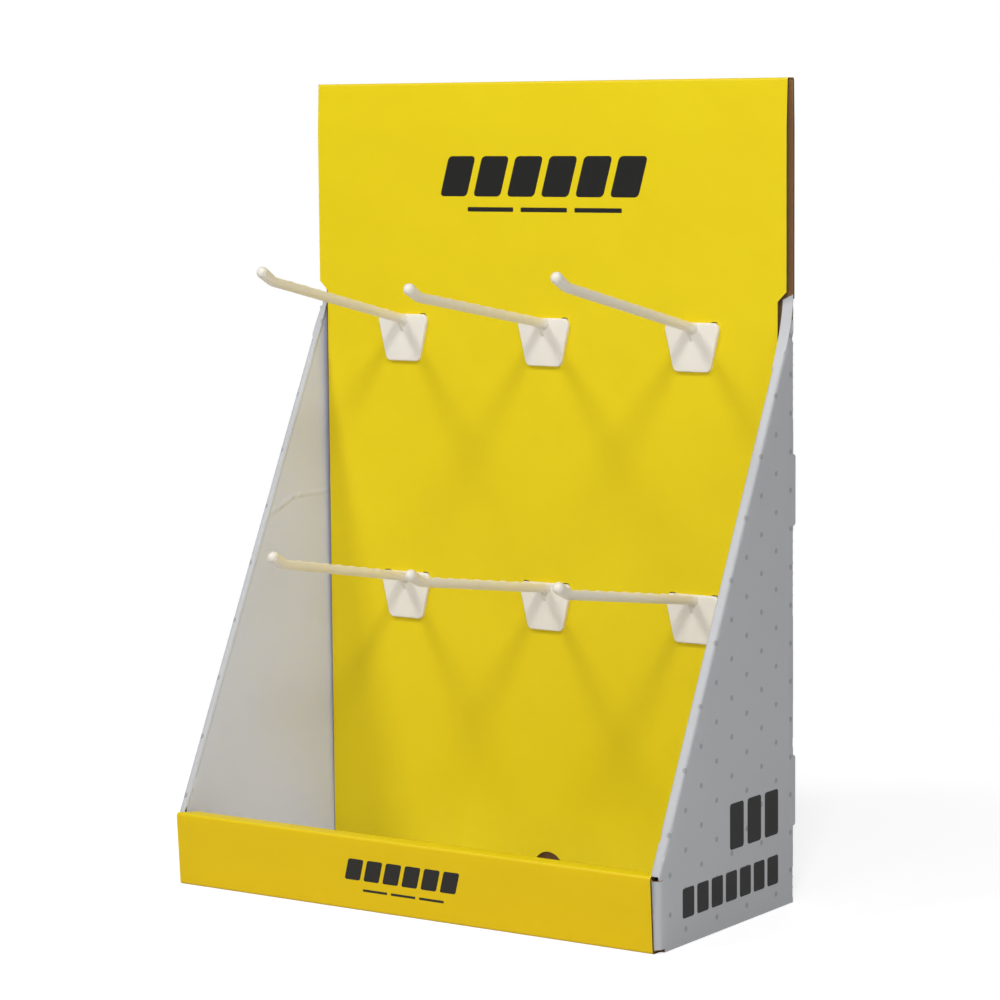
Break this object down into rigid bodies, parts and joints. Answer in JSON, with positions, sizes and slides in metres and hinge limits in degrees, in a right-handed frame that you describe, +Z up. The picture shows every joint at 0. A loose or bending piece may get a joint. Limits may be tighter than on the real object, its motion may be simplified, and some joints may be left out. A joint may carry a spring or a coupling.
{
  "type": "cardboard display stand",
  "caption": "Counter display stand folded from corrugated board, with a shallow tray, sloping double sides, a tall header panel and plastic peg hooks with rising tips.",
  "frame": {"origin": "middle of the stand's outline, on the surface that it stands on", "axes": "+Z up, -Y towards the open front with the low lip, +Y towards the flat back, +X to the right as seen from the front"},
  "size_m": [0.32, 0.1481, 0.4514],
  "materials": {
    "printed_board": "corrugated board with a printed, lightly coated paper face: yellow inside the front, pale grey white with small grey dots on the sides and back",
    "hook_plastic": "moulded ivory white plastic with a soft gloss"
  },
  "bodies": {
    "root": {"folded_stand": "printed_board", "hook_upper_left": "hook_plastic", "hook_upper_middle": "hook_plastic", "hook_upper_right": "hook_plastic", "hook_lower_left": "hook_plastic", "hook_lower_middle": "hook_plastic", "hook_lower_right": "hook_plastic"}
  },
  "joints": []
}
